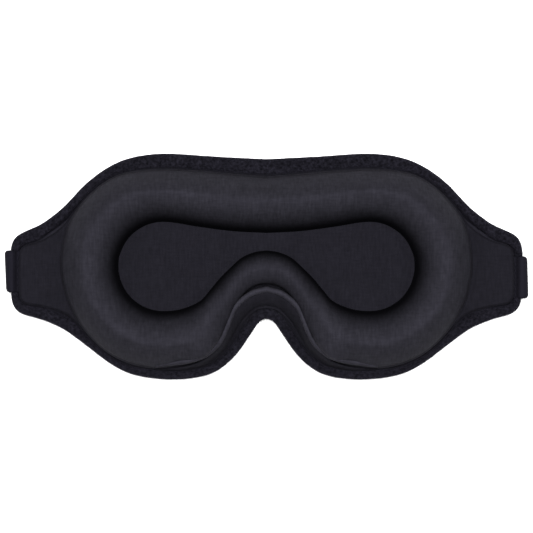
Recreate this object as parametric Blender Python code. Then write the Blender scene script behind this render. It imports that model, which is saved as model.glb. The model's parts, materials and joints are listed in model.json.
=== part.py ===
"""Contoured sleep eye mask, lying on its outer side with the inner (face) side up.

Frame: origin under the middle of the mask on the surface it lies on, +X to the wearer's side seen on
the right, +Y to the forehead, +Z up out of the face side. Metres.
"""
import math

import bmesh
import bpy
from mathutils import Matrix, Vector

MM = 0.001
GAP = 0.3 * MM                      # clearance between neighbouring solids

# ---- flat layers, from the outer side up --------------------------------------------------
BASE_Z = 3.0 * MM                   # underside of the outer cover, resting on the tucked strap
COVER_THICK = 1.0 * MM
FOAM_THICK = 3.0 * MM
LINER_THICK = 1.0 * MM
BINDING_THICK = 3.7 * MM
FOAM_Z = BASE_Z + COVER_THICK + GAP
LINER_Z = FOAM_Z + FOAM_THICK + GAP
LINER_TOP = LINER_Z + LINER_THICK
RING_Z = LINER_TOP + GAP            # base of the cushions
OUTLINE_STEP = 4.5 * MM             # spacing of the points along a smooth outline

# ---- cushions -----------------------------------------------------------------------------
CUSHION_HEIGHT = 15.0 * MM
ARCH_HEIGHT = 11.5 * MM             # lower, over the nose
ARCH_LOW_Y = -42.0 * MM             # the height falls from here
ARCH_HIGH_Y = -24.0 * MM            # to here
SKIN_THICK = 0.8 * MM
FLAP_THICK = 1.5 * MM
FLAP_ROUND = 0.5 * MM               # drop at the flap's free edge

# ---- strap --------------------------------------------------------------------------------
STRAP_WIDTH = 19.0 * MM
STRAP_THICK = 1.2 * MM
PATCH_THICK = 1.2 * MM
LOOP_THICK = 1.0 * MM
PATCH_WIDTH = 17.0 * MM
STRAP_REACH = 118.0 * MM            # outermost point of the strap fold from the middle
ROOT_START = 104.0 * MM             # sewn-in end of the strap
ROOT_END = 112.0 * MM
ROOT_Z = FOAM_Z + 1.3 * MM          # underside of the sewn-in end
TAB_START = 4.0 * MM                # from the swing axis to the free strap
LIFT_AT = 12.0 * MM                 # from the swing axis to the bend next to the ear
NOTCH_GAP = 1.0 * MM                # beside the strap where it passes the binding
NOTCH_DEPTH = 2.0 * MM              # how far the notch reaches in past the sewn-in end
FOLD_STEPS = 8                      # flats round the strap fold
BEND_AT = {"left": 105.0 * MM, "right": 70.0 * MM}
STRAP_LENGTH = {"left": 180.0 * MM, "right": 110.0 * MM}
STRAP_Y = {"left": -2.2 * MM, "right": -4.9 * MM}
STRAP_ANGLE = {"left": math.radians(5.5), "right": math.radians(3.5)}
ARM_Z = {"left": 0.0, "right": PATCH_THICK + GAP}
PATCH_START = 6.0 * MM              # from the bend to the patch
PATCH_MARGIN = 2.0 * MM             # from the patch to the band's tip
TACK_START = 109.2 * MM             # the row of stitches across the sewn-in end
TACK_END = 110.2 * MM
TACK_THICK = 0.4 * MM
TACK_MARGIN = 0.5 * MM              # from the row's end to the strap's edge

# ---- outlines of the right half, from the top middle round the ear to the nose, in mm -------
OUTER_EDGE = [
    (0, 48.4), (22, 49.5), (45, 50.9), (59.5, 49.4), (70, 45.5), (81, 37.7), (92, 26.3), (102.6, 18.5),
    (111.2, 14.7), (115.2, 8.5), (115.2, -12.5), (112, -20.4), (102.6, -23.5), (92, -27.9), (81, -35.8),
    (70, -44), (59.5, -48.9), (45, -50.9), (32.5, -50.2), (23.2, -47.5), (14.2, -40.3), (6.5, -29.5),
    (3.2, -24.6), (0, -23.1),
]
LINER_EDGE = [
    (0, 41.2), (22, 43), (45, 44.6), (60, 43.2), (70.4, 40.1), (83.3, 29.4), (91.5, 18.4), (101, 11.9),
    (109.6, 9.4), (111.2, 7.4), (111.2, -14.2), (109.4, -16.7), (100, -18.3), (90, -21.6), (83.3, -28.3),
    (74.8, -37), (63, -44.2), (48, -46.6), (35, -46.8), (24, -43.4), (16.8, -36.6), (8.6, -24.1),
    (4.1, -19.8), (0, -18.8),
]
# Cushion stations: outer edge x and y, then inner edge x and y, of each cross-section.
CUSHION_TOP = [(0, 40.6, 0, 15.1), (15, 41.8, 15, 15.9), (30, 43.2, 30, 17.8)]
CUSHION_SIDE = [
    (30, 43.2, 30, 17.8), (46, 44, 44, 20), (60, 42.9, 52, 19.3), (70, 39.6, 58.5, 16), (80, 31.9, 63, 11.4),
    (88.6, 20.3, 65.8, 5.6), (92.2, 8, 66.5, 1.8), (92.2, -4.5, 66.3, -3), (88.6, -17.7, 64.5, -8.7),
    (81, -29.8, 60.6, -14.2), (70, -39.7, 54.6, -18.3), (56, -45.2, 47.5, -20), (42, -45.6, 38.5, -19.2),
    (30, -42.6, 30, -15.6),
]
CUSHION_NOSE = [
    (30, -42.6, 30, -15.6), (22.6, -34, 25.3, -10.5), (17.6, -25.4, 21.4, -5.8), (14.4, -17.6, 17.2, -1.5),
    (9, -11.2, 11.3, 3.8), (4.2, -8.3, 5.4, 6.4), (0, -7.7, 0, 7.2),
]
# Nose flap stations: foot x and y on the binding, then free edge x and y, and the height there.
FLAP_STATIONS = [
    (23.6, -41.9, 24.6, -38.6, 2.5), (16.8, -35, 19.4, -33.2, 6), (12.9, -28.2, 16.2, -26.2, 7),
    (8.8, -22.6, 13, -17.4, 7.3), (4.6, -19.2, 7.2, -12, 7.5), (0, -18, 0, -9.7, 7.5),
]
# Cross-section of a cushion: share of the way in from the outer edge, and share of the height.
CUSHION_PROFILE = [
    (0, 0), (0.03, 0.24), (0.12, 0.58), (0.26, 0.87), (0.42, 1), (0.6, 0.96), (0.75, 0.83), (0.87, 0.62),
    (0.95, 0.34), (1, 0),
]
RING_STEPS = 2                      # extra stations between two cushion stations

COLOURS = {
    "cover": (0.015, 0.015, 0.018), "foam": (0.10, 0.10, 0.11), "liner": (0.017, 0.017, 0.021),
    "binding": (0.014, 0.014, 0.016), "skin": (0.020, 0.020, 0.024), "strap": (0.012, 0.012, 0.014),
    "thread": (0.03, 0.03, 0.034), "loop": (0.016, 0.016, 0.018), "hook": (0.02, 0.02, 0.022),
}
ROUGHNESS = {"skin": 0.6, "hook": 0.5, "strap": 0.75}
SIDES = {"left": -1, "right": 1}


def clear_scene():
    for obj in list(bpy.data.objects):
        bpy.data.objects.remove(obj, do_unlink=True)


def collection(name):
    group = bpy.data.collections.new(name)
    bpy.context.scene.collection.children.link(group)
    return group


def material(name):
    found = bpy.data.materials.get(name)
    if found:
        return found
    made = bpy.data.materials.new(name)
    made.use_nodes = True
    shader = made.node_tree.nodes["Principled BSDF"]
    shader.inputs["Base Color"].default_value = (*COLOURS[name], 1)
    shader.inputs["Roughness"].default_value = ROUGHNESS.get(name, 0.9)
    shader.inputs["Metallic"].default_value = 0
    return made


def add_object(name, mesh, finish, group, pivot=(0, 0, 0)):
    """Put a mesh drawn in world coordinates into the group, with its origin on the pivot."""
    obj = bpy.data.objects.new(name, mesh)
    obj.location = pivot
    mesh.transform(Matrix.Translation(-Vector(pivot)))
    mesh.materials.clear()
    mesh.materials.append(material(finish))
    group.objects.link(obj)
    return obj


# ---- smooth lines -------------------------------------------------------------------------
def between(points, index, share):
    """A point on the smooth line through the points, after points[index]."""
    last = len(points) - 1
    out = []
    for p, q, r, s in zip(*(points[min(max(index + k, 0), last)] for k in (-1, 0, 1, 2))):
        slope, curve, twist = r - p, 2 * p - 5 * q + 4 * r - s, 3 * q - p - 3 * r + s
        out.append(q + 0.5 * (slope * share + curve * share**2 + twist * share**3))
    return tuple(out)


def smooth_outline(points, side):
    """Points along the smooth line, in metres on the given side, starting and ending GAP / 2 from x = 0."""
    line = [(x * MM, y * MM) for x, y in points]
    out = []
    for i in range(len(line) - 1):
        length = math.dist(line[i], line[i + 1])
        steps = max(1, round(length / OUTLINE_STEP))
        out += [between(line, i, k / steps) for k in range(steps)]
    out.append(line[-1])
    return [(side * max(x, GAP / 2), y) for x, y in out]


def smooth_stations(points, side):
    """Stations along the smooth lines, in the units of the points, with x turned to the given side."""
    out = []
    for i in range(len(points) - 1):
        out += [between(points, i, k / (RING_STEPS + 1)) for k in range(RING_STEPS + 1)]
    out.append(points[-1])
    return [(side * s[0], s[1], side * s[2], *s[3:]) for s in out]


# ---- solids -------------------------------------------------------------------------------
def plate(name, outline, low, thick, finish, group, pivot):
    """A flat sheet: a filled 2D curve with thickness, turned into one closed mesh."""
    curve = bpy.data.curves.new(name, "CURVE")
    curve.dimensions = "2D"
    curve.fill_mode = "BOTH"
    curve.extrude = thick / 2
    spline = curve.splines.new("POLY")
    spline.points.add(len(outline) - 1)
    for point, (x, y) in zip(spline.points, outline):
        point.co = (x, y, 0, 1)
    spline.use_cyclic_u = True
    drawn = bpy.data.objects.new(name + "_outline", curve)
    group.objects.link(drawn)
    graph = bpy.context.evaluated_depsgraph_get()
    mesh = bpy.data.meshes.new_from_object(drawn.evaluated_get(graph))
    mesh.transform(Matrix.Translation((0, 0, low + thick / 2)))
    bpy.data.objects.remove(drawn, do_unlink=True)
    work = bmesh.new()
    work.from_mesh(mesh)
    bmesh.ops.remove_doubles(work, verts=work.verts, dist=0.01 * MM)
    bmesh.ops.recalc_face_normals(work, faces=work.faces)
    work.to_mesh(mesh)
    work.free()
    return add_object(name, mesh, finish, group, pivot)


def loft(name, sections, finish, group, pivot):
    """A solid through closed cross-sections that all have the same number of points."""
    work = bmesh.new()
    rows = [[work.verts.new(p) for p in section] for section in sections]
    count = len(rows[0])
    for row, after in zip(rows, rows[1:]):
        for k in range(count):
            m = (k + 1) % count
            work.faces.new((row[k], row[m], after[m], after[k]))
    work.faces.new(rows[0])
    work.faces.new(rows[-1])
    bmesh.ops.recalc_face_normals(work, faces=work.faces)
    mesh = bpy.data.meshes.new(name)
    work.to_mesh(mesh)
    work.free()
    mesh.shade_smooth()
    mesh.set_sharp_from_angle(angle=math.radians(35))
    return add_object(name, mesh, finish, group, pivot)


def box(name, low, high, finish, group, pivot, turn=None):
    """A block between two corners, turned by a matrix before its origin is set."""
    work = bmesh.new()
    bmesh.ops.create_cube(work, size=1)
    middle = (Vector(low) + Vector(high)) / 2
    size = Vector(high) - Vector(low)
    bmesh.ops.scale(work, vec=size, verts=work.verts)
    bmesh.ops.translate(work, vec=middle, verts=work.verts)
    if turn:
        bmesh.ops.transform(work, matrix=turn, verts=work.verts)
    mesh = bpy.data.meshes.new(name)
    work.to_mesh(mesh)
    work.free()
    return add_object(name, mesh, finish, group, pivot)


def cut(target, cutter):
    """Take the cutter's space out of a solid with a Boolean modifier."""
    cutter.hide_render = True
    cutter.display_type = "WIRE"
    step = target.modifiers.new("cut", "BOOLEAN")
    step.operation = "DIFFERENCE"
    step.solver = "EXACT"
    step.object = cutter


# ---- cushions -----------------------------------------------------------------------------
def cushion_height(y):
    """The cushion is full height all round and falls to the arch's height over the nose."""
    share = min(max((y - ARCH_LOW_Y) / (ARCH_HIGH_Y - ARCH_LOW_Y), 0), 1)
    share = share * share * (3 - 2 * share)
    return CUSHION_HEIGHT + (ARCH_HEIGHT - CUSHION_HEIGHT) * share


def cushion_line(station, inset, height):
    """The curved top of a cross-section, drawn in from the true surface by the inset."""
    x0, y0, x1, y1 = (v * MM for v in station)
    start, end = Vector((x0, y0)), Vector((x1, y1))
    margin = inset / (end - start).length
    line = []
    for across, up in CUSHION_PROFILE:
        at = start.lerp(end, margin + across * (1 - 2 * margin))
        line.append((at.x, at.y, RING_Z + up * (height - inset)))
    return line


def cushion_pair(prefix, stations, heights, group, pivot):
    """The foam and the skin stretched over it, from one set of stations."""
    skins, foams = [], []
    for station, height in zip(stations, heights):
        skins.append(cushion_line(station, 0, height) + cushion_line(station, SKIN_THICK, height)[::-1])
        foams.append(cushion_line(station, SKIN_THICK + GAP, height))
    loft(prefix + "_foam", foams, "foam", group, pivot)
    loft(prefix + "_cover", skins, "skin", group, pivot)


def trim_ends(stations, start, end):
    """Move the first and last station along x, so that neighbouring cushions keep their gap."""
    moved = [list(s) for s in stations]
    for row, shift in ((moved[0], start), (moved[-1], end)):
        row[0] += shift / MM
        row[2] += shift / MM
    return moved


def side_cushion(side_name, side, group):
    stations = trim_ends(smooth_stations(CUSHION_SIDE, side), side * GAP / 2, side * GAP / 2)
    heights = [CUSHION_HEIGHT] * len(stations)
    cushion_pair(side_name + "_cushion", stations, heights, group, (0, 0, RING_Z))


def bridge_cushion(name, half, falls, group):
    right = smooth_stations(half, 1)
    left = smooth_stations(half, -1)
    line = (left[::-1] + right[1:]) if half[0][0] == 0 else (left + right[::-1][1:])
    stations = trim_ends(line, GAP / 2, -GAP / 2)
    heights = [cushion_height(s[1] * MM) if falls else CUSHION_HEIGHT for s in stations]
    cushion_pair(name, stations, heights, group, (0, 0, RING_Z))


def nose_flap(group):
    right = smooth_stations(FLAP_STATIONS, 1)
    left = smooth_stations(FLAP_STATIONS, -1)
    sections = []
    for x0, y0, x1, y1, height in left + right[::-1][1:]:
        foot, edge = Vector((x0, y0)) * MM, Vector((x1, y1)) * MM
        lean = (edge - foot).normalized() * FLAP_THICK
        top = RING_Z + height * MM
        sections.append([
            (foot.x, foot.y, RING_Z),
            (foot.x + lean.x, foot.y + lean.y, RING_Z),
            (edge.x, edge.y, top - FLAP_ROUND),
            (edge.x - 0.5 * lean.x, edge.y - 0.5 * lean.y, top),
        ])
    loft("nose_flap", sections, "liner", group, (0, 0, RING_Z))


# ---- flat layers --------------------------------------------------------------------------
def strap_cutter(name, side, start, y, cutters):
    """The room that the sewn-in strap end needs, open to the top."""
    x0, x1 = sorted((side * start, side * (STRAP_REACH + GAP)))
    half = STRAP_WIDTH / 2 + NOTCH_GAP
    low = (x0, y - half, ROOT_Z - GAP)
    high = (x1, y + half, LINER_TOP + GAP)
    return box(name, low, high, "thread", cutters, (0, 0, 0))


def half_layers(side_name, side, group, cutters):
    outer = smooth_outline(OUTER_EDGE, side)
    inner = smooth_outline(LINER_EDGE, side)
    binding_inner = offset_outline(inner, side, GAP)
    pivot = (0, 0, BASE_Z)
    plate(side_name + "_outer_cover", outer, BASE_Z, COVER_THICK, "cover", group, pivot)
    foam = plate(side_name + "_outer_foam", inner, FOAM_Z, FOAM_THICK, "foam", group, pivot)
    plate(side_name + "_base_liner", inner, LINER_Z, LINER_THICK, "liner", group, pivot)
    band = outer + binding_inner[::-1]
    binding = plate(side_name + "_edge_binding", band, FOAM_Z, BINDING_THICK, "binding", group, pivot)
    y = STRAP_Y[side_name]
    cut(foam, strap_cutter(side_name + "_foam_pocket", side, ROOT_START - GAP, y, cutters))
    cut(binding, strap_cutter(side_name + "_binding_notch", side, ROOT_END - NOTCH_DEPTH, y, cutters))


def offset_outline(line, side, distance):
    """The outline moved outward by a distance, keeping its two ends on the middle plane."""
    out = []
    for i, (x, y) in enumerate(line):
        before, after = line[max(i - 1, 0)], line[min(i + 1, len(line) - 1)]
        along = Vector((after[0] - before[0], after[1] - before[1])).normalized()
        out.append((x - side * along.y * distance, y + side * along.x * distance))
    out[0] = (line[0][0], line[0][1] + distance)
    out[-1] = (line[-1][0], line[-1][1] - distance)
    return [(side * max(abs(x), GAP / 2), y) for x, y in out]


# ---- straps -------------------------------------------------------------------------------
def swing_axis(side_name):
    """The strap fold turns about this point of the x-z plane, at this radius."""
    high = ROOT_Z + STRAP_THICK / 2
    low = ARM_Z[side_name] + STRAP_THICK / 2
    radius = (high - low) / 2
    return STRAP_REACH - radius - STRAP_THICK / 2, (high + low) / 2, radius


def strap_turn(side_name, side):
    """From a band drawn along +X from the swing axis to its place under the mask."""
    across, _, _ = swing_axis(side_name)
    move = Matrix.Translation((side * across, STRAP_Y[side_name], 0))
    heading = STRAP_ANGLE[side_name] if side < 0 else math.pi + STRAP_ANGLE[side_name]
    return move @ Matrix.Rotation(heading, 4, "Z")


def strap_fold(side_name, side, group):
    """The bend of elastic from the sewn-in end round the ear end to the free band."""
    across, height, radius = swing_axis(side_name)
    y = STRAP_Y[side_name]
    turn = strap_turn(side_name, side)
    half = STRAP_WIDTH / 2
    inner, outer = radius - STRAP_THICK / 2, radius + STRAP_THICK / 2
    start = ROOT_END + GAP
    sections = [[
        (side * start, y - half, height + inner), (side * start, y + half, height + inner),
        (side * start, y + half, height + outer), (side * start, y - half, height + outer),
    ]]
    for k in range(FOLD_STEPS + 1):
        angle = math.pi / 2 - math.pi * k / FOLD_STEPS
        row = []
        for r, v in ((inner, -half), (inner, half), (outer, half), (outer, -half)):
            row.append((side * (across + r * math.cos(angle)), y + v, height + r * math.sin(angle)))
        sections.append(row)
    end = TAB_START - GAP
    last = []
    for r, v in ((inner, -half), (inner, half), (outer, half), (outer, -half)):
        last.append(tuple(turn @ Vector((end, v * (1 if side < 0 else -1), height - r))))
    sections.append(last)
    loft(side_name + "_strap_fold", sections, "strap", group, (side * across, y, height))


def strap(side_name, side, group):
    across, height, _ = swing_axis(side_name)
    y = STRAP_Y[side_name]
    turn = strap_turn(side_name, side)
    half = STRAP_WIDTH / 2
    low, high = ARM_Z[side_name], ARM_Z[side_name] + STRAP_THICK
    bend, length = BEND_AT[side_name], STRAP_LENGTH[side_name]
    swing = (side * across, y, height)
    lift_at = tuple(turn @ Vector((LIFT_AT, 0, low)))
    turn_at = tuple(turn @ Vector((bend, 0, low)))
    x0, x1 = sorted((side * ROOT_START, side * ROOT_END))
    box(side_name + "_strap_root", (x0, y - half, ROOT_Z), (x1, y + half, ROOT_Z + STRAP_THICK),
        "strap", group, (0, 0, ROOT_Z))
    strap_fold(side_name, side, group)
    box(side_name + "_strap_tab", (TAB_START, -half, low), (LIFT_AT - GAP / 2, half, high),
        "strap", group, swing, turn)
    box(side_name + "_strap_band", (LIFT_AT + GAP / 2, -half, low), (bend - GAP / 2, half, high),
        "strap", group, lift_at, turn)
    box(side_name + "_strap_end", (bend + GAP / 2, -half, low), (length, half, high),
        "strap", group, turn_at, turn)
    patch = PATCH_WIDTH / 2
    if side_name == "left":
        name, finish, floor, roof = "left_loop_patch", "loop", high + GAP, high + GAP + LOOP_THICK
    else:
        name, finish, floor, roof = "right_hook_patch", "hook", low - GAP - PATCH_THICK, low - GAP
    box(name, (bend + PATCH_START, -patch, floor), (length - PATCH_MARGIN, patch, roof),
        finish, group, turn_at, turn)


def bar_tack(side_name, side, group):
    """The row of stitches across the strap end, on top of the liner."""
    y = STRAP_Y[side_name]
    half = STRAP_WIDTH / 2 - TACK_MARGIN
    x0, x1 = sorted((side * TACK_START, side * TACK_END))
    low = LINER_TOP + GAP
    box(side_name + "_bar_tack", (x0, y - half, low), (x1, y + half, low + TACK_THICK),
        "thread", group, (0, 0, LINER_TOP))


def main():
    clear_scene()
    group = collection("sleep_eye_mask")
    cutters = collection("cutters")
    for side_name, side in SIDES.items():
        half_layers(side_name, side, group, cutters)
        side_cushion(side_name, side, group)
        strap(side_name, side, group)
        bar_tack(side_name, side, group)
    bridge_cushion("upper_bridge", CUSHION_TOP, False, group)
    bridge_cushion("nose_arch", CUSHION_NOSE, True, group)
    nose_flap(group)


main()
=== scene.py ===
"""Looks of the contoured sleep mask: knitted skins, bound edge, elastic strap, light and camera."""
import json
import math

import bmesh
import bpy
import numpy as np
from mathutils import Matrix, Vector, noise


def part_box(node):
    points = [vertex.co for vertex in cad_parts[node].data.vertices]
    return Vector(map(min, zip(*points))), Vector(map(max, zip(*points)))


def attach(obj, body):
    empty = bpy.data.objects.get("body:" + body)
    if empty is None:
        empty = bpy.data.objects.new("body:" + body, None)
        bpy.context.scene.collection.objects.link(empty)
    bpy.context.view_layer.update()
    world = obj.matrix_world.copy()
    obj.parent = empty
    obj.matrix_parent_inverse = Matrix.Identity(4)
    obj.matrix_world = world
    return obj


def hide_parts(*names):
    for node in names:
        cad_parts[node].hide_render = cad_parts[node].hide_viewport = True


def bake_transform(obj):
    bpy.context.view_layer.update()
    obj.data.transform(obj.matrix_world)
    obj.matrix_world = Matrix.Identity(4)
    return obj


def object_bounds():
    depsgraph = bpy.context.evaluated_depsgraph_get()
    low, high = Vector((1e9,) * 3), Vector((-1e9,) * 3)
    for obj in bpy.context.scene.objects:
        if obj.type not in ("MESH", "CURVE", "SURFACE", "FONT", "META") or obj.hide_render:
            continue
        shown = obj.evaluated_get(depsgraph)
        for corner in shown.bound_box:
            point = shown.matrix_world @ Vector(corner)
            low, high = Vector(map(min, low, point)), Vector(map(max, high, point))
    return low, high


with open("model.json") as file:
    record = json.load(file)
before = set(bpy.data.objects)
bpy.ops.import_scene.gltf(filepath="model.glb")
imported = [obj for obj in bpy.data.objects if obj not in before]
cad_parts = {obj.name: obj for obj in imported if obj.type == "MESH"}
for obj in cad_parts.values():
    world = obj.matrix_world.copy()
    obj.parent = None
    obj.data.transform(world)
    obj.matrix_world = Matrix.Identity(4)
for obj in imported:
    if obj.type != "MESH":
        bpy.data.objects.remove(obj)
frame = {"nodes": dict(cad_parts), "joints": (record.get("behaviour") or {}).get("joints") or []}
cad_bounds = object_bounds()

MM = 0.001
SIDES = {"left": -1, "right": 1}
JOINTS = {j["name"]: j for j in frame["joints"]}
EAR_START = 100 * MM                # only the ear ends lie further out than this
STITCH_GROOVE = 113.2 * MM          # where the stitching pulls the strap down, from the middle
STITCH_DIP = 1.5 * MM
STRAP_STEP = 0.3 * MM               # between two points along a strap
RIB_PITCH = 0.9 * MM                # of the elastic's cross ribs
CORNER_PULL = 0.9 * MM              # how far the corners draw in where the strap folds over
TACK_REACH = 112.0 * MM             # from the middle to the bar tack
TACK_DEPTH = 1.5 * MM               # of its thread under the liner's top

PATCH_GRID = 0.5 * MM
PATCH_CORNER = 2.5 * MM             # radius
PATCH_SEAM = 1.2 * MM               # from the patch's edge to its stitches
HOOK_PITCH = 1.05 * MM
# A hook's middle line: share of its reach to the side, share of its depth.
HOOK_CURL = [(0, 0), (0, 0.45), (0.05, 0.75), (0.22, 0.98), (0.42, 0.92), (0.5, 0.70)]

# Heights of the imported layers.
COVER_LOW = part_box("left_outer_cover")[0].z
FOAM_LOW, FOAM_HIGH = (p.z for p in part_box("left_outer_foam"))
LINER_LOW, LINER_HIGH = (p.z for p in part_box("left_base_liner"))
RING_LOW, RING_HIGH = (p.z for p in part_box("left_cushion_cover"))

# Cushion stations of the right half: outer edge x and y, then inner edge x and y, in mm.
CUSHION = [
    (0, 40.6, 0, 15.1), (15, 41.8, 15, 15.9), (30, 43.2, 30, 17.8), (46, 44, 44, 20),
    (60, 42.9, 52, 19.3), (70, 39.6, 58.5, 16), (80, 31.9, 63, 11.4), (88.6, 20.3, 65.8, 5.6),
    (92.2, 8, 66.5, 1.8), (92.2, -4.5, 66.3, -3), (88.6, -17.7, 64.5, -8.7), (81, -29.8, 60.6, -14.2),
    (70, -39.7, 54.6, -18.3), (56, -45.2, 47.5, -20), (42, -45.6, 38.5, -19.2), (30, -42.4, 30, -15.6),
    (22.2, -34.3, 25.3, -10.5), (17.3, -25.7, 21.4, -5.8), (14.2, -17.8, 17.2, -1.5),
    (9, -11.2, 11.3, 3.8), (4.2, -8.3, 5.4, 6.4), (0, -7.7, 0, 7.2),
]
# Nose flap stations of the right half: foot x and y, free edge x and y, height of the edge, in mm.
FLAP = [
    (50, -46.3, 49.5, -44.2, 1.4), (43, -46.5, 42.6, -43.2, 2.0), (36, -46.2, 35.6, -42.2, 3.6),
    (26.6, -43.9, 27.8, -39.8, 6.8), (18.4, -37.3, 21.3, -34.2, 8.5), (13.7, -29.6, 17.2, -26.2, 8.8),
    (9.4, -23.6, 13.5, -17.5, 8.4), (4.8, -19.6, 7.4, -11.9, 7.9), (0, -18.4, 0, -9.6, 7.8),
]
# Section of a cushion: share of the way in from the rim, share of the height.
SECTION = [
    (0, 0), (0, 0.05), (0.006, 0.085), (0.018, 0.105), (0.03, 0.115), (0.036, 0.15), (0.042, 0.25),
    (0.055, 0.33), (0.08, 0.40), (0.12, 0.50), (0.17, 0.615), (0.23, 0.735), (0.29, 0.84), (0.35, 0.92),
    (0.40, 0.98), (0.45, 1.0), (0.52, 0.985), (0.60, 0.94), (0.67, 0.88), (0.74, 0.795), (0.80, 0.705),
    (0.85, 0.62), (0.89, 0.535), (0.925, 0.44), (0.955, 0.33), (0.978, 0.2), (0.992, 0.08), (1, 0),
]
# Over the nose the outer wall stands upright and the top is broad.
ARCH_SECTION = [
    (0, 0), (0, 0.2), (0, 0.4), (0, 0.58), (0.006, 0.70), (0.025, 0.765), (0.06, 0.81), (0.12, 0.86),
    (0.20, 0.91), (0.28, 0.95), (0.36, 0.98), (0.45, 1.0), (0.55, 0.988), (0.65, 0.945), (0.73, 0.88),
    (0.80, 0.80), (0.86, 0.705), (0.91, 0.585), (0.945, 0.465), (0.97, 0.34), (0.988, 0.18), (1, 0),
]
RING_HEIGHT = RING_HIGH - LINER_HIGH
ARCH_DROP = 0.24                    # the arch over the nose is this share lower
RECESS_OVAL = (79 * MM, 32 * MM)    # half axes of an oval between the recess and the ring's outer rim; the painted shade stays inside it
SHADE_PAINT_HEIGHTS = (0.25, 0.92)          # shares of the ring's height between which the painted shade fades out, darkest at the lower
SHADE_PAINT_DARKEST = 0.12                 # of the colour is left where the painted shade is darkest
ROLL_RADIUS = 1.35 * MM             # of the roll along the nose flap's free edge
SKIN_STATIONS, SKIN_COLUMNS = 560, 48       # mesh points round the ring and across its section


# ---- curves ----
def catmull(points, per, closed=False):
    """Smooth line through rows of numbers, with per samples between two rows."""
    p = np.asarray(points, float)
    if closed:
        ring = np.vstack([p[-1], p, p[0], p[1]])
    else:
        ring = np.vstack([2 * p[0] - p[1], p, 2 * p[-1] - p[-2]])
    t = (np.arange(per) / per)[:, None]
    out = []
    for a, b, c, d in zip(ring, ring[1:], ring[2:], ring[3:]):
        square = 2 * a - 5 * b + 4 * c - d
        cube = 3 * b - a - 3 * c + d
        out.append(0.5 * (2 * b + (c - a) * t + square * t**2 + cube * t**3))
    line = np.vstack(out)
    return line if closed else np.vstack([line, p[-1]])


def even(line, count, closed=False):
    """The same line with count points at even spacing along its first two columns."""
    p = np.vstack([line, line[:1]]) if closed else line
    run = np.concatenate([[0], np.cumsum(np.linalg.norm(np.diff(p[:, :2], axis=0), axis=1))])
    at = np.linspace(0, run[-1], count, endpoint=not closed)
    return np.stack([np.interp(at, run, p[:, k]) for k in range(p.shape[1])], axis=1)


def mirrored(line, x_columns):
    """A closed loop from a half line that runs from the top middle to the nose middle."""
    other = line[-2:0:-1].copy()
    other[:, x_columns] *= -1
    return np.vstack([line, other])


def node_outline(name):
    """Outline of a packed right-half plate, from the top middle round the ear to the nose middle."""
    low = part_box(name)[0]
    work = bmesh.new()
    work.from_mesh(frame["nodes"][name].data)
    bmesh.ops.remove_doubles(work, verts=work.verts, dist=1e-6)
    flat = {f for f in work.faces if all(abs(v.co.z - low.z) < 1e-5 for v in f.verts)}
    links = {}
    for e in work.edges:
        if sum(f in flat for f in e.link_faces) == 1:
            a, b = e.verts
            links.setdefault(a, []).append(b)
            links.setdefault(b, []).append(a)
    at = max((v for v in links if v.co.x < low.x + 1e-5), key=lambda v: v.co.y)
    before, line = None, [at.co.copy()]
    while before is None or at.co.x > low.x + 1e-5:
        steps = [v for v in links[at] if v is not before and (before or v.co.x > low.x + 1e-5)]
        before, at = at, steps[0]
        line.append(at.co.copy())
    work.free()
    points = np.array([(p.x, p.y) for p in line])
    points[0, 0] = points[-1, 0] = 0
    return points


def eased(value, start, end):
    """0 up to the start and 1 from the end on, with a smooth step between; the end may be the lower one."""
    t = np.clip((value - start) / (end - start), 0, 1)
    return t * t * (3 - 2 * t)


# ---- meshes ----
def make_piece(name, points, faces, mat):
    """A smooth-shaded object from points and faces, with its material and slot."""
    mesh = bpy.data.meshes.new(name)
    mesh.from_pydata([tuple(p) for p in points], [], faces)
    mesh.validate()
    work = bmesh.new()
    work.from_mesh(mesh)
    bmesh.ops.recalc_face_normals(work, faces=work.faces)
    work.to_mesh(mesh)
    work.free()
    mesh.shade_smooth()
    obj = bpy.data.objects.new(name, mesh)
    bpy.context.scene.collection.objects.link(obj)
    mesh.materials.append(mat)
    return obj


def grid_faces(rows, cols, close_rows=False, close_cols=False):
    """Quads of a grid of rows x cols points, numbered row by row."""
    out = []
    for i in range(rows if close_rows else rows - 1):
        a = i * cols
        b = ((i + 1) % rows) * cols
        for j in range(cols if close_cols else cols - 1):
            k = (j + 1) % cols
            out.append((a + j, a + k, b + k, b + j))
    return out


def two_layer_faces(cols, rows):
    """Faces of two grids of cols x rows points, one after the other, joined along their rims."""
    count = cols * rows
    faces = grid_faces(cols, rows)
    faces += [tuple(count + v for v in f[::-1]) for f in faces]
    ring = [i * rows for i in range(cols)]
    ring += [(cols - 1) * rows + j for j in range(1, rows)]
    ring += [i * rows + rows - 1 for i in range(cols - 2, -1, -1)]
    ring += list(range(rows - 2, 0, -1))
    for a, b in zip(ring, ring[1:] + ring[:1]):
        faces.append((a, b, count + b, count + a))
    return faces


def tube_faces(base, rings, sides):
    """Faces of a short capped tube whose points start at number base, ring by ring."""
    faces = []
    for k in range(rings - 1):
        low = base + k * sides
        high = low + sides
        for m in range(sides):
            n = (m + 1) % sides
            faces.append((low + m, low + n, high + n, high + m))
    for first in (base, base + (rings - 1) * sides):
        faces.append(tuple(range(first, first + sides)))
    return faces


def sweep(name, sections, mat, closed=False):
    """Tube through closed sections (an array rows x cols x 3), capped unless it closes on itself."""
    rows, cols = sections.shape[:2]
    faces = grid_faces(rows, cols, close_rows=closed, close_cols=True)
    if not closed:
        faces.append(tuple(range(cols)))
        faces.append(tuple((rows - 1) * cols + j for j in range(cols)))
    return make_piece(name, sections.reshape(-1, 3), faces, mat)


def rough(p, size, seed=0.0):
    """Smooth noise of about -1..1 at a point, with features of the given size."""
    return noise.noise(Vector((p[0] / size + seed, p[1] / size - seed, p[2] / size + 2 * seed)))


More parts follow.
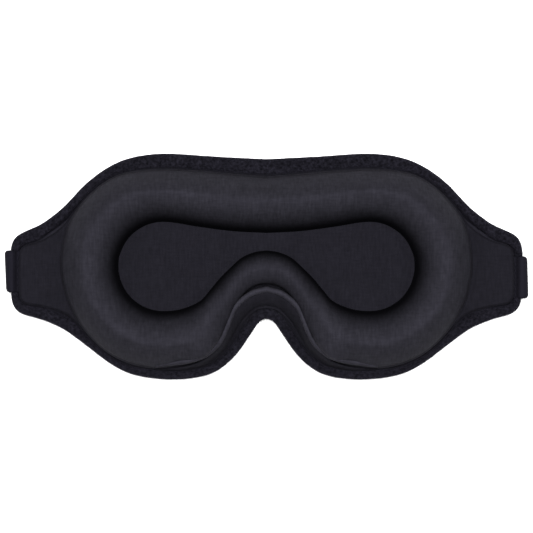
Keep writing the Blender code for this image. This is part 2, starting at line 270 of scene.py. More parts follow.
def rough_field(points, size, seed=0.0):
    """The noise at each of many points."""
    return np.array([rough(p, size, seed) for p in points])


# ---- materials ----
GLOSS_TINT = (0.78, 0.75, 1, 1)
SHEEN_TINT = (0.75, 0.72, 1, 1)


class Cloth:
    """A fabric material built up node by node. Coordinates are the mesh's own, in metres."""

    def __init__(self, name, colour, roughness, sheen=0.0, sheen_rough=0.4, specular=0.3):
        self.mat = bpy.data.materials.new(name)
        self.mat.use_nodes = True
        self.tree = self.mat.node_tree
        self.shader = self.tree.nodes["Principled BSDF"]
        self.shader.inputs["Base Color"].default_value = (*colour, 1)
        self.shader.inputs["Roughness"].default_value = roughness
        self.shader.inputs["Specular IOR Level"].default_value = specular
        self.shader.inputs["Specular Tint"].default_value = GLOSS_TINT
        self.shader.inputs["Sheen Weight"].default_value = sheen
        self.shader.inputs["Sheen Roughness"].default_value = sheen_rough
        self.place = self.node("ShaderNodeTexCoord").outputs["Object"]
        self.colour = colour
        self.height = None

    def node(self, kind, **inputs):
        """A new node, with values for the inputs named."""
        made = self.tree.nodes.new(kind)
        for key, value in inputs.items():
            made.inputs[key.replace("_", " ")].default_value = value
        return made

    def link(self, a, b):
        self.tree.links.new(a, b)

    def scaled(self, scale):
        """The coordinates, scaled along each axis."""
        mapping = self.node("ShaderNodeMapping")
        mapping.inputs["Scale"].default_value = scale
        self.link(self.place, mapping.inputs["Vector"])
        return mapping.outputs["Vector"]

    def noise(self, pitch, detail=2.0, vector=None):
        made = self.node("ShaderNodeTexNoise", Scale=1 / pitch, Detail=detail)
        self.link(vector or self.place, made.inputs["Vector"])
        return made.outputs["Fac"]

    def wave(self, pitch, direction, distortion=0.0):
        """Bands a pitch apart; the wave node repeats every 2 pi / 20 at scale 1."""
        made = self.node("ShaderNodeTexWave", Scale=2 * math.pi / (20 * pitch), Distortion=distortion)
        made.bands_direction = direction
        made.wave_profile = "SIN"
        self.link(self.place, made.inputs["Vector"])
        return made.outputs["Fac"]

    def cells(self, pitch):
        made = self.node("ShaderNodeTexVoronoi", Scale=1 / pitch)
        self.link(self.place, made.inputs["Vector"])
        return made.outputs["Distance"]

    def math(self, kind, a, b):
        made = self.node("ShaderNodeMath")
        made.operation = kind
        for k, v in enumerate((a, b)):
            if isinstance(v, (int, float)):
                made.inputs[k].default_value = v
            else:
                self.link(v, made.inputs[k])
        return made.outputs[0]

    def raise_by(self, value, depth):
        """Add a height field, with its depth in metres."""
        scaled = self.math("MULTIPLY", value, depth)
        self.height = scaled if self.height is None else self.math("ADD", self.height, scaled)

    def ramp(self, value, start, end, low, high, kind="LINEAR"):
        """The number that goes from low to high as the value goes from start to end."""
        made = self.node("ShaderNodeMapRange")
        made.interpolation_type = kind
        made.inputs["From Min"].default_value = start
        made.inputs["From Max"].default_value = end
        made.inputs["To Min"].default_value = low
        made.inputs["To Max"].default_value = high
        self.link(value, made.inputs["Value"])
        return made.outputs["Result"]

    def scale_colour(self, factor):
        """Multiply the base colour, or what already feeds it, by a socket's value."""
        previous = self.shader.inputs["Base Color"].links
        scale = self.node("ShaderNodeVectorMath")
        scale.operation = "SCALE"
        if previous:
            self.link(previous[0].from_socket, scale.inputs[0])
        else:
            scale.inputs[0].default_value = self.colour
        self.link(factor, scale.inputs["Scale"])
        self.link(scale.outputs["Vector"], self.shader.inputs["Base Color"])

    def tint(self, value, low, high):
        """Vary the base colour between two multiples of it; most textures stay within 0.3 to 0.7."""
        self.scale_colour(self.ramp(value, 0.3, 0.7, low, high))

    def finish(self):
        bump = self.node("ShaderNodeBump", Strength=1.0, Distance=1.0)
        self.link(self.height, bump.inputs["Height"])
        self.link(bump.outputs["Normal"], self.shader.inputs["Normal"])
        return self.mat


def knit(name, colour, roughness, specular, pitch, depth, streaks, mottling=0.15, sheen=0.0):
    """A jersey knit: small stitches in columns along y, softly uneven, with faint streaks of the yarn."""
    cloth = Cloth(name, colour, roughness, sheen=sheen, specular=specular)
    wales = cloth.wave(pitch, "X", 0.8)
    courses = cloth.wave(pitch * 0.8, "Y", 0.8)
    weave = cloth.math("MULTIPLY", wales, courses)
    cloth.raise_by(weave, depth)
    upright = cloth.noise(1.7 * pitch, 2.0, cloth.scaled((1, 0.16, 0.3)))
    level = cloth.noise(1.7 * pitch, 2.0, cloth.scaled((0.2, 1, 0.3)))
    cloth.raise_by(upright, depth)
    cloth.tint(weave, 1 - mottling, 1 + mottling)
    cloth.tint(upright, 1 - streaks, 1 + streaks)
    cloth.tint(level, 1 - 0.7 * streaks, 1 + 0.7 * streaks)
    cloth.tint(cloth.noise(9 * MM, 2.0), 0.94, 1.06)
    return cloth


def paint_recess_shade(cloth):
    """Paint shade into the skin's colour at the foot of the eye recess walls, only inside the oval round the
    recess.
    """
    split = cloth.node("ShaderNodeSeparateXYZ")
    cloth.link(cloth.place, split.inputs[0])
    low, high = (RING_LOW + share * RING_HEIGHT for share in SHADE_PAINT_HEIGHTS)
    # painted shade: the colour darkens towards the foot of the recess walls
    foot = cloth.ramp(split.outputs["Z"], low, high, SHADE_PAINT_DARKEST, 1.0, "SMOOTHSTEP")
    across = cloth.node("ShaderNodeVectorMath")
    across.operation = "LENGTH"
    oval = (1 / RECESS_OVAL[0], 1 / RECESS_OVAL[1], 0)
    cloth.link(cloth.scaled(oval), across.inputs[0])
    outside = cloth.ramp(across.outputs["Value"], 1.0, 1.1, 0.0, 1.0)
    cloth.scale_colour(cloth.math("MAXIMUM", foot, outside))


def make_materials():
    fine, coarse, bump = 0.45 * MM, 0.5 * MM, 0.03 * MM
    skin = knit("skin_knit_painted_shade", (0.0262, 0.0254, 0.0314), 0.68, 0.10, coarse, bump, 0.15)
    # the skin knit gets painted shade at the foot of the recess walls
    paint_recess_shade(skin)
    # A lighter copy of the skin knit without its painted shade: the lighter colour is a painted highlight on
    # the nose flap's roll.
    roll = knit("roll_knit_painted_highlight", (0.0290, 0.0281, 0.0347), 0.64, 0.12, coarse, bump, 0.15)
    liner = knit("liner_knit", (0.0155, 0.0149, 0.0193), 0.85, 0.10, coarse, bump, 0.13, 0.25, 0.01)
    # The flap's knit is darker than the skin knit: painted shade for the pad's face, which turns away from
    # the lights.
    flap = knit("flap_knit_painted_shade", (0.0160, 0.0154, 0.0198), 0.78, 0.08, fine, bump, 0.12)
    cover = knit("cover_knit", (0.0200, 0.0192, 0.0250), 0.8, 0.18, fine, 0.035 * MM, 0.14, 0.2, 0.02)
    return {
        "skin": skin.finish(),
        "roll": roll.finish(),
        "liner": liner.finish(),
        "flap": flap.finish(),
        "cover": cover.finish(),
        "binding": brushed("binding_brushed", (0.0096, 0.0091, 0.0124), 0.9),
        "strap": elastic("strap_elastic", (0.0140, 0.0133, 0.0185)),
        "thread": thread("thread_twist", (0.0120, 0.0114, 0.0160)),
        "foam": foam("foam_cells", (0.030, 0.030, 0.033)),
        "loop": brushed("loop_pile", (0.0165, 0.0160, 0.0195), 0.95),
        "hook": moulded("hook_nylon", (0.020, 0.020, 0.023)),
    }


def brushed(name, colour, roughness):
    """A brushed, slightly fluffy knit with coarse specks."""
    cloth = Cloth(name, colour, roughness, sheen=0.03, sheen_rough=0.6, specular=0.08)
    cloth.shader.inputs["Sheen Tint"].default_value = SHEEN_TINT
    coarse = cloth.noise(1.1 * MM, 3.0)
    fine = cloth.noise(0.32 * MM, 2.0)
    cloth.raise_by(coarse, 0.30 * MM)
    cloth.raise_by(fine, 0.12 * MM)
    cloth.raise_by(cloth.cells(0.55 * MM), 0.10 * MM)
    cloth.tint(coarse, 0.35, 1.9)
    cloth.tint(fine, 0.65, 1.4)
    cloth.tint(cloth.noise(7 * MM, 2.0), 0.9, 1.1)
    return cloth.finish()


def elastic(name, colour):
    """Woven elastic webbing: crossed bands of thread."""
    cloth = Cloth(name, colour, 0.75, specular=0.12)
    warp = cloth.wave(0.62 * MM, "Y", 0.3)
    weft = cloth.wave(0.50 * MM, "X", 0.3)
    weave = cloth.math("MULTIPLY", warp, weft)
    cloth.raise_by(weave, 0.06 * MM)
    cloth.tint(weave, 0.8, 1.25)
    cloth.tint(cloth.noise(5 * MM, 2.0), 0.93, 1.07)
    return cloth.finish()


def thread(name, colour):
    """Twisted sewing thread."""
    cloth = Cloth(name, colour, 0.65, specular=0.15)
    cloth.raise_by(cloth.wave(0.25 * MM, "DIAGONAL"), 0.03 * MM)
    cloth.tint(cloth.noise(1.5 * MM), 0.85, 1.15)
    return cloth.finish()


def foam(name, colour):
    """Open-celled foam, darker inside each cell."""
    cloth = Cloth(name, colour, 0.95, specular=0.1)
    cells = cloth.cells(0.5 * MM)
    cloth.raise_by(cells, 0.2 * MM)
    cloth.tint(cells, 1.2, 0.6)
    return cloth.finish()


def moulded(name, colour):
    """Moulded nylon with a faint waviness."""
    cloth = Cloth(name, colour, 0.42, specular=0.5)
    cloth.raise_by(cloth.noise(0.6 * MM), 0.02 * MM)
    cloth.tint(cloth.noise(2 * MM), 0.9, 1.1)
    return cloth.finish()


# ---- flat layers ----
def half_loop(name, soft=1.7 * MM, step=0.4 * MM):
    """The right half of a packed outline, with its corners eased over the soft length."""
    loop = mirrored(catmull(node_outline(name), 10), [0])
    length = np.linalg.norm(np.roll(loop, -1, axis=0) - loop, axis=1).sum()
    count = 2 * int(length / step / 2)
    loop = even(loop, count, closed=True)
    reach = int(3 * soft / step)
    weight = np.exp(-0.5 * (np.arange(-reach, reach + 1) * step / soft) ** 2)
    weight /= weight.sum()
    eased = sum(w * np.roll(loop, k - reach, axis=0) for k, w in enumerate(weight))
    half = eased[: count // 2 + 1].copy()
    half[0, 0] = half[-1, 0] = 0
    return half


def column_grid(loop_half, columns, rows):
    """Points that fill an outline in upright columns, and their distance to the outline."""
    far = int(np.argmax(loop_half[:, 0]))
    reach = loop_half[far, 0]
    upper, lower = loop_half[: far + 1], loop_half[far:][::-1]
    x = reach * np.sin(np.linspace(-math.pi / 2, math.pi / 2, columns))
    high = np.interp(np.abs(x), np.maximum.accumulate(upper[:, 0]), upper[:, 1])
    low = np.interp(np.abs(x), np.maximum.accumulate(lower[:, 0]), lower[:, 1])
    share = 0.5 - 0.5 * np.cos(np.linspace(0, math.pi, rows))
    y = low[:, None] + (high - low)[:, None] * share[None, :]
    grid = np.stack([np.repeat(x[:, None], rows, 1), y], axis=2)
    edge = even(mirrored(loop_half, [0]), 1500, closed=True)
    flat = grid.reshape(-1, 2)
    near = np.full(len(flat), 1e9)
    for k in range(0, len(flat), 2000):
        d = np.linalg.norm(flat[k:k + 2000, None, :] - edge[None, :, :], axis=2)
        near[k:k + 2000] = d.min(1)
    return flat, near


def slab(name, loop_half, columns, rows, low_at, high_at, mat):
    """A sheet with a lower and an upper face, joined along the outline.

    low_at and high_at give the heights from the points and their distances to the outline.
    """
    flat, inset = column_grid(loop_half, columns, rows)
    low = np.column_stack([flat, low_at(flat, inset)])
    high = np.column_stack([flat, high_at(flat, inset)])
    obj = make_piece(name, np.vstack([low, high]), two_layer_faces(columns, rows), mat)
    tidy_mesh(obj)
    return obj


def tidy_mesh(obj):
    """Merge points that fall together, such as the ends of the first and last column."""
    work = bmesh.new()
    work.from_mesh(obj.data)
    bmesh.ops.remove_doubles(work, verts=work.verts, dist=0.004 * MM)
    bmesh.ops.dissolve_degenerate(work, edges=work.edges, dist=0.002 * MM)
    bmesh.ops.recalc_face_normals(work, faces=work.faces)
    work.to_mesh(obj.data)
    work.free()
    obj.data.shade_smooth()


def edge_lift(inset):
    """The outer side curves up towards the bound edge."""
    return 1.5 * MM * np.clip(1 - inset / (9 * MM), 0, 1) ** 2


def cross_bridge(obj):
    """Bake a piece's placement into its mesh; the piece is not bent."""
    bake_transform(obj)


def outer_cover(mats):
    """The knitted fabric of the outer side, which swells a little."""
    loop = half_loop("right_outer_cover")

    def low(flat, inset):
        swell = 0.25 * MM * rough_field(np.column_stack([flat, 0 * inset]), 26 * MM, 3.0)
        return COVER_LOW + 0.15 * MM + edge_lift(inset) + np.abs(swell)

    def high(flat, inset):
        return low(flat, inset) + 0.75 * MM

    obj = slab("outer_cover_fabric", loop, 220, 90, low, high, mats["cover"])
    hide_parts("left_outer_cover", "right_outer_cover")
    cross_bridge(obj)


def outer_foam(mats):
    """The foam sheet between cover and liner."""
    loop = half_loop("right_base_liner")

    def low(flat, inset):
        return FOAM_LOW + 0.1 * MM + 0.6 * edge_lift(inset + 5 * MM)

    def high(flat, inset):
        return np.full(len(flat), FOAM_HIGH)

    obj = slab("outer_foam_sheet", loop, 120, 40, low, high, mats["foam"])
    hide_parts("left_outer_foam", "right_outer_foam")
    cross_bridge(obj)


def liner(mats):
    """The knitted panel of the recess floor and the ears, which falls to the seam at its edge."""
    loop = half_loop("right_base_liner")

    def high(flat, inset):
        swell = 0.22 * MM * rough_field(np.column_stack([flat, 0 * inset]), 17 * MM, 7.0)
        fall = 1.15 * MM * np.clip(1 - inset / (1.3 * MM), 0, 1) ** 2
        return LINER_HIGH - 0.1 * MM + swell - fall

    def low(flat, inset):
        return np.full(len(flat), LINER_LOW)

    obj = slab("base_liner_knit", loop, 260, 110, low, high, mats["liner"])
    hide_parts("left_base_liner", "right_base_liner")
    cross_bridge(obj)


# ---- edge binding ----
def strap_window(x, y):
    """1 where a strap passes the ear end, 0 elsewhere."""
    total = np.zeros(len(x))
    soft = 1.2 * MM
    for side, sign in SIDES.items():
        low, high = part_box(side + "_strap_root")
        across = eased(y, low.y - soft, low.y) * eased(y, high.y + soft, high.y)
        total += across * (sign * x > EAR_START)
    return total


def seam_gap(x, y):
    """How far the seam has opened: a thin line along each ear, a narrow lens on its upper edge."""
    x = np.abs(x)
    line = 0.45 * MM * eased(x, 84 * MM, 92 * MM)
    lens = 1.5 * MM * np.exp(-(((x - 94 * MM) / (6 * MM)) ** 2))
    return line + lens * (y > 0)


def binding_lines(count=1400, window=9):
    """Points of the outer outline, their matches on the liner's seam, the ways there and the widths."""
    outer = even(mirrored(half_loop("right_outer_cover"), [0]), count, closed=True)
    fine = 4 * count
    inner = even(mirrored(half_loop("right_base_liner"), [0]), fine, closed=True)
    match = np.empty(count)
    for k in range(0, count, 100):
        d = np.linalg.norm(outer[k:k + 100, None, :] - inner[None, :, :], axis=2)
        match[k:k + 100] = d.argmin(1)
    match = np.unwrap(match, period=fine)
    padded = np.concatenate([match[-window:] - fine, match, match[:window] + fine])
    match = np.convolve(padded, np.ones(2 * window + 1) / (2 * window + 1), "valid")
    index = np.arange(-50, fine + 50)
    around = [np.take(inner[:, c], index, mode="wrap") for c in (0, 1)]
    seam = np.stack([np.interp(match, index, column) for column in around], axis=1)
    inward = seam - outer
    width = np.linalg.norm(inward, axis=1, keepdims=True)
    return outer, seam, inward / width, width


# Section of the binding: distance in from the edge, as a share of the width and then mm, and height in mm.
BINDING_SECTION = [
    (0, 0.0, 2.9), (0, 0.25, 4.0), (0, 0.95, 4.95), (0.18, 1.0, 5.45), (0.42, 0.8, 5.62), (0.70, 0.3, 5.5),
    (0.92, -0.05, 5.1), (1, -0.1, 4.3), (1, -0.1, 3.0), (0, 5.2, 1.6), (0, 5.3, 0.9), (0, 4.9, 0.45),
    (0, 3.2, 0.45), (0, 1.6, 0.75), (0, 0.5, 1.7),
]
UNDER_STRAP = 2.05 * MM             # height that is left of the binding where a strap passes


def edge_binding(mats):
    """The tape folded round the whole outline, softly puffed, and pressed down where a strap passes."""
    outer, seam, inward, width = binding_lines()
    width = width - seam_gap(seam[:, 0], seam[:, 1])[:, None]
    top = LINER_HIGH - 0.25 * MM
    low = COVER_LOW + 0.05 * MM
    steps = catmull(BINDING_SECTION, 2, closed=True)
    height = steps[:, 2] * (top - low) / max(row[2] for row in BINDING_SECTION)
    notch = strap_window(outer[:, 0], outer[:, 1])
    rows = []
    for k in range(len(outer)):
        reach = steps[:, 0] * width[k, 0] + steps[:, 1] * MM
        lowered = UNDER_STRAP + (height - UNDER_STRAP) * (1 - notch[k])
        z = low + np.where(height > UNDER_STRAP, lowered, height)
        rows.append(np.column_stack([outer[k] + inward[k] * reach[:, None], z]))
    sections = np.array(rows)
    flat = sections.reshape(-1, 3)
    puff = 0.16 * MM * rough_field(flat, 3.2 * MM, 1.0) + 0.09 * MM * rough_field(flat, 1.1 * MM, 5.0)
    along = np.repeat(inward, sections.shape[1], axis=0)
    raised = np.clip((flat[:, 2] - low) / (top - low), 0, 1)
    flat[:, 2] += puff * raised
    flat[:, :2] += along * (0.5 * puff)[:, None]
    obj = sweep("edge_binding_tape", flat.reshape(sections.shape), mats["binding"], closed=True)
    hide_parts("left_edge_binding", "right_edge_binding")
    cross_bridge(obj)


# ---- cushions ----
def section_line(table, count):
    """Even points along a section, for a cushion 25 mm wide and 15 mm high."""
    size = np.array([25.0, 15.0])
    return even(catmull(table, 8) * size, count) / size


def cushion_stations(count):
    """Even stations round the whole ring: outer edge x and y, then inner edge x and y."""
    half = catmull(CUSHION, 24)
    loop = mirrored(half, [0, 2])
    mid = np.column_stack([(loop[:, 0] + loop[:, 2]) / 2, (loop[:, 1] + loop[:, 3]) / 2, loop])
    return even(mid, count, closed=True)[:, 2:] * MM


def arch_share(stations):
    """1 where the cushion stands upright behind the nose flap, 0 round the eyes."""
    return eased(np.abs(stations[:, 0]), 41 * MM, 24 * MM) * (stations[:, 1] < 0)


def arch_fall(stations):
    """1 over the nose, where the cushion is lower, 0 round the eyes."""
    x, y = np.abs(stations[:, 0]), stations[:, 1]
    return eased(y, -42 * MM, -24 * MM) * (y < 0) * (x < 34 * MM)


def ring_surface(stations, count, inset, lift):
    """Points of the cushion's surface: rows are stations, columns run from the rim to the inner foot."""
    outer, inner = stations[:, None, 0:2], stations[:, None, 2:4]
    width = np.linalg.norm(inner - outer, axis=2, keepdims=True)
    margin = inset / width
    turn = arch_share(stations)[:, None, None]
    eye, arch = section_line(SECTION, count)[None], section_line(ARCH_SECTION, count)[None]
    profile = eye * (1 - turn) + arch * turn
    at = outer + (inner - outer) * (margin + profile[:, :, 0:1] * (1 - 2 * margin))
    height = (RING_HEIGHT - inset) * (1 - ARCH_DROP * arch_fall(stations))
    z = lift + profile[:, :, 1] * height[:, None]
    return np.concatenate([at, z[:, :, None]], axis=2)


def cushion_skin(mats):
    """The cushion's knitted cover, all round both eyes."""
    stations = cushion_stations(SKIN_STATIONS)
    top = ring_surface(stations, SKIN_COLUMNS, 0.0, LINER_HIGH)
    flat = top.reshape(-1, 3)
    level = np.clip((flat[:, 2] - LINER_HIGH) / RING_HEIGHT, 0, 1)
    soft = 0.28 * MM * rough_field(flat, 21 * MM, 2.0) + 0.10 * MM * rough_field(flat, 7 * MM, 4.0)
    flat[:, 2] += soft * level
    under = ring_surface(stations, SKIN_COLUMNS, 0.8 * MM, LINER_HIGH - 0.02 * MM)[:, ::-1]
    sections = np.concatenate([flat.reshape(top.shape), under[:, 1:-1]], axis=1)
    obj = sweep("cushion_skin", sections, mats["skin"], closed=True)
    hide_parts("left_cushion_cover", "right_cushion_cover", "upper_bridge_cover", "nose_arch_cover")
    cross_bridge(obj)


def cushion_core(mats):
    """The foam inside the cover."""
    stations = cushion_stations(200)
    sections = ring_surface(stations, 20, 1.2 * MM, LINER_HIGH + 0.05 * MM)
    obj = sweep("cushion_foam_core", sections, mats["foam"], closed=True)
    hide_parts("left_cushion_foam", "right_cushion_foam", "upper_bridge_foam", "nose_arch_foam")
    cross_bridge(obj)


def flap_line(count):
    """Even stations along the flap: foot x and y, free edge x and y, height of the edge."""
    half = catmull(FLAP, 16)
    other = half[:-1].copy()
    other[:, [0, 2]] *= -1
    return even(np.vstack([other, half[::-1]]), count) * MM


def nearest(points, targets, count):
    """The mean of the few targets nearest each point, compared in plan."""
    out = []
    for p in points:
        near = np.linalg.norm(targets[:, :2] - p[:2], axis=1).argsort()[:count]
        out.append(targets[near].mean(axis=0))
    return np.array(out)


def run_mean(values, reach):
    """Values smoothed along a line over reach neighbours on either side."""
    padded = np.pad(values, reach, mode="edge")
    return np.convolve(padded, np.ones(2 * reach + 1) / (2 * reach + 1), "valid")


def pad_section(foot, edge, rise):
    """Section of the flap's pad, from its foot up to its edge and back underneath."""
    span = np.linalg.norm(edge - foot)
    lean = (edge - foot) / span
    shape = [
        (0, 0), (0, 0.5 * MM), (0.1 * span, 1.0 * MM), (0.22 * span, 0.38 * rise),
        (0.42 * span, 0.64 * rise), (0.62 * span, 0.82 * rise), (0.82 * span, 0.92 * rise),
        (span, 0.90 * rise), (span + 0.3 * MM, 0.74 * rise), (0.9 * span, 0.4 * rise), (0.45 * span, 0),
    ]
    return catmull([(*(foot + lean * along), z) for along, z in shape], 3, closed=True)


def roll_section(foot, free, height):
    """Round section of the roll, which closes up to the cushion beside the nose."""
    reach = np.linalg.norm(free - foot)
    lean = (free - foot) / reach
    closing = eased(abs(free[0]), 9 * MM, 17 * MM) * 0.7 * MM
    circle = []
    for turn in np.linspace(0, 2 * math.pi, 14, endpoint=False):
        out = reach - 0.45 * MM + closing + ROLL_RADIUS * math.cos(turn)
        z = height - 0.35 * MM + 0.8 * ROLL_RADIUS * math.sin(turn)
        circle.append((*(foot + lean * out), z))
    return circle


def nose_flap(mats):
    """The thin padded flap that stands up along the nose, and the roll along its free edge.

    Beside the nose the pad ends at the cushion's rim, and the roll runs on over the cushion and sinks in.
    """
    line = flap_line(300)
    ring = ring_surface(cushion_stations(SKIN_STATIONS), SKIN_COLUMNS, 0.0, LINER_HIGH)
    x = np.abs(line[:, 2])
    on_ring = eased(x, 19 * MM, 31 * MM)
    rim = nearest(line[:, 2:4], ring[:, 0], 2)[:, :2]
    surface = nearest(line[:, 2:4], ring[:, 3:].reshape(-1, 3), 6)[:, 2] - LINER_HIGH
    sunk = eased(x, 41 * MM, 50 * MM) * 1.5 * MM
    roll_height = run_mean(line[:, 4] + (surface + 0.25 * MM - sunk - line[:, 4]) * on_ring, 14)
    pads, rolls = [], []
    for k, station in enumerate(line):
        foot, free, rise = station[0:2], station[2:4], station[4]
        pads.append(pad_section(foot, free + (rim[k] - free) * on_ring[k], rise))
        rolls.append(roll_section(foot, free, roll_height[k]))
    for name, rows, mat in (("nose_flap_pad", pads, mats["flap"]), ("nose_flap_roll", rolls, mats["roll"])):
        sections = np.array(rows)
        sections[:, :, 2] = LINER_HIGH + np.maximum(sections[:, :, 2], 0)
        obj = sweep(name, sections, mat)
        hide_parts("nose_flap")
        cross_bridge(obj)


# ---- straps ----
class StrapLine:
    """Where a strap runs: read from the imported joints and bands."""

    def __init__(self, side):
        self.sign = SIDES[side]
        swing, lift, bend = (Vector(JOINTS[f"{side}_strap_{k}"]["pos_m"]) for k in ("swing", "lift", "bend"))
        self.swing = swing
        self.along = (bend - lift).normalized()
        self.across = Vector((-self.along.y, self.along.x, 0))
        self.sideways = self.across * (1 if self.across.y > 0 else -1)
        band_low, band_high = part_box(side + "_strap_band")
        root_low, root_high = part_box(side + "_strap_root")
        self.root_z = (root_low.z + root_high.z) / 2
        self.root_y = (root_low.y + root_high.y) / 2
        self.root_x = min(abs(root_low.x), abs(root_high.x))
        self.width = root_high.y - root_low.y
        self.thick = band_high.z - band_low.z
        self.mid_z = (band_low.z + band_high.z) / 2
        self.radius = (self.root_z - self.mid_z) / 2
        self.start = Vector((swing.x, swing.y, self.mid_z))
        self.lift_at = (lift - swing).dot(self.along)
        self.bend_at = (bend - swing).dot(self.along)
        end = frame["nodes"][side + "_strap_end"].data.vertices
        self.tip_at = max((v.co - swing).dot(self.along) for v in end)

    def point(self, distance, aside=0.0):
        """The point at a distance past the swing joint, and so far across the strap."""
        at = self.start + self.along * distance + self.across * aside
        return Vector((at.x, at.y, self.mid_z))


def webbing_profile(width):
    """Outline across the band: sideways distance, and height as a share of half the thickness."""
    half = width / 2
    edge = [(-half, 0), (-half + 0.25 * MM, 0.72), (-half + 0.7 * MM, 0.95)]
    flat = [(v, 1.0) for v in np.linspace(-half + 1.6 * MM, half - 1.6 * MM, 9)]
    upper = edge + flat + [(-v, u) for v, u in edge[::-1]]
    return upper + [(v, -u) for v, u in upper[-2:0:-1]]


def webbing(name, s, path, widths, rib_at, mats, pull=None):
    """Elastic band along a path: widths are the sideways directions, rib_at the run at each point.

    pull draws the corners in at each point, where the band is folded over.
    """
    half = s.width / 2
    profile = webbing_profile(s.width)
    rows = []
    for k, p in enumerate(path):
        along = (path[min(k + 1, len(path) - 1)] - path[max(k - 1, 0)]).normalized()
        side = (widths[k] - along * widths[k].dot(along)).normalized()
        up = along.cross(side)
        rib = 1 + 0.10 * math.cos(2 * math.pi * rib_at[k] / RIB_PITCH)
        row = []
        for v, u in profile:
            wobble = 0.03 * MM * rough((v, rib_at[k], 0), 2.5 * MM)
            at = p + side * (v + wobble) + up * (u * s.thick / 2 * rib * 0.92)
            if pull:
                at -= pull[k] * max(0, (abs(v) - half) / (1.6 * MM) + 1) ** 2
            row.append(tuple(at))
        rows.append(row)
    return sweep(name, np.array(rows), mats["strap"])


def strap_fold(side, s, first_end, mats):
    """The sewn-in end, the bend round the ear end, and the first stretch under the mask."""
    path, widths, pull = [], [], []
    y_axis = Vector((0, 1, 0))
    outward = Vector((s.sign, 0, 0))
    for d in np.arange(0, abs(s.swing.x) - s.root_x, STRAP_STEP):
        x = s.root_x + d
        dip = STITCH_DIP * math.exp(-(((x - STITCH_GROOVE) / (0.95 * MM)) ** 2))
        path.append(Vector((s.sign * x, s.root_y, s.root_z - dip)))
        widths.append(y_axis)
        pull.append(0 * outward)
    turns = max(12, int(math.pi * s.radius / STRAP_STEP))
    for k in range(turns + 1):
        share = k / turns
        angle = math.pi / 2 - math.pi * share
        out = s.sign * s.radius * math.cos(angle)
        path.append(Vector((s.swing.x + out, s.root_y, s.swing.z + s.radius * math.sin(angle))))
        widths.append(y_axis.lerp(s.sideways, share))
        pull.append(outward * (CORNER_PULL * math.sin(math.pi * share)))
    for d in np.arange(STRAP_STEP, first_end, STRAP_STEP):
        path.append(s.point(d))
        widths.append(s.sideways)
        pull.append(0 * outward)
    runs = [k * STRAP_STEP for k in range(len(path))]
    fold = webbing(f"{side}_strap_sewn_end", s, path, widths, runs, mats, pull)
    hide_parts(f"{side}_strap_root", f"{side}_strap_fold")
    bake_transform(fold)


def strap_band(name, s, low, high, joint_at, soft, nodes, mats):
    """A straight stretch of the strap from low to high; it is not bent at the joint."""
    runs = [float(d) for d in np.linspace(low, high, max(3, int((high - low) / STRAP_STEP)))]
    points = [s.point(d) for d in runs]
    band = webbing(name, s, points, [s.sideways] * len(points), runs, mats)
    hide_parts(*nodes)
    tuple(s.point(joint_at - soft))
    tuple(s.point(joint_at + soft))
    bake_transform(band)


def strap_pieces(side, mats):
    """The whole strap in three pieces: sewn end, band next to the ear, and tail past the bend."""
    s = StrapLine(side)
    first_end = s.lift_at - 4 * MM
    tail_start = s.bend_at - 12 * MM
    strap_fold(side, s, first_end, mats)
    strap_band(f"{side}_strap_webbing", s, first_end - STRAP_STEP, tail_start, s.lift_at, 2.6 * MM,
               (f"{side}_strap_tab", f"{side}_strap_band"), mats)
    strap_band(f"{side}_strap_tail", s, tail_start, s.tip_at, s.bend_at, 4 * MM,
               (f"{side}_strap_end",), mats)
    return s


# ---- stitches ----
def stitch_rows(line, gap, length):
    """Pairs of end points of stitches along a line of Vectors."""
    run = [0.0]
    for a, b in zip(line, line[1:]):
        run.append(run[-1] + (b - a).length)
    flat = np.array([tuple(p) for p in line])

    def at(d):
        return Vector([float(np.interp(d, run, flat[:, k])) for k in range(3)])

    pitch = gap + length
    return [(at(k * pitch), at(k * pitch + length)) for k in range(int(run[-1] / pitch))]


def thread_run(name, stitches, radius, mats, up=1, sides=6):
    """Short raised stitches, each an arched tube between two points; up is 1, or -1 on an underside."""
    points, faces = [], []
    rings = 6
    up = Vector((0, 0, up))
    for a, b in stitches:
        side = (b - a).normalized().cross(up)
        faces += tube_faces(len(points), rings, sides)
        for k in range(rings):
            t = k / (rings - 1)
            centre = a.lerp(b, t) + up * (radius * (1.1 * math.sin(math.pi * t) - 0.45))
            r = radius * (0.45 + 0.55 * math.sin(math.pi * (0.12 + 0.76 * t)))
            for m in range(sides):
                turn = 2 * math.pi * m / sides
                points.append(centre + side * (r * math.cos(turn)) + up * (r * math.sin(turn)))
    return make_piece(name, points, faces, mats["thread"])


def bar_tack(side, mats):
    """The row of stitches that holds the strap at the ear end, on the liner's edge."""
    low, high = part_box(side + "_strap_root")
    x, z = SIDES[side] * TACK_REACH, LINER_HIGH - TACK_DEPTH
    line = [Vector((x, low.y + 0.6 * MM, z)), Vector((x, high.y - 0.6 * MM, z))]
    obj = thread_run(side + "_bar_tack_thread", stitch_rows(line, 0.6 * MM, 2.1 * MM), 0.24 * MM, mats)
    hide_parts(side + "_bar_tack")
    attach(obj, side + "_half")


def binding_stitches(mats):
    """The seam's stitches all round the binding, except where the straps pass."""
    outer, _, inward, width = binding_lines()
    line = outer + inward * (0.72 * width)
    keep = strap_window(outer[:, 0], outer[:, 1]) < 0.05
    runs = [[]]
    for k in range(len(line) + 1):
        m = k % len(line)
        if keep[m]:
            runs[-1].append(Vector((*line[m], LINER_HIGH - 0.20 * MM)))
        else:
            runs.append([])
    stitches = []
    for run in runs:
        if len(run) > 10:
            stitches += stitch_rows(run, 0.8 * MM, 1.9 * MM)
    obj = thread_run("binding_stitches", stitches, 0.14 * MM, mats, sides=5)
    cross_bridge(obj)


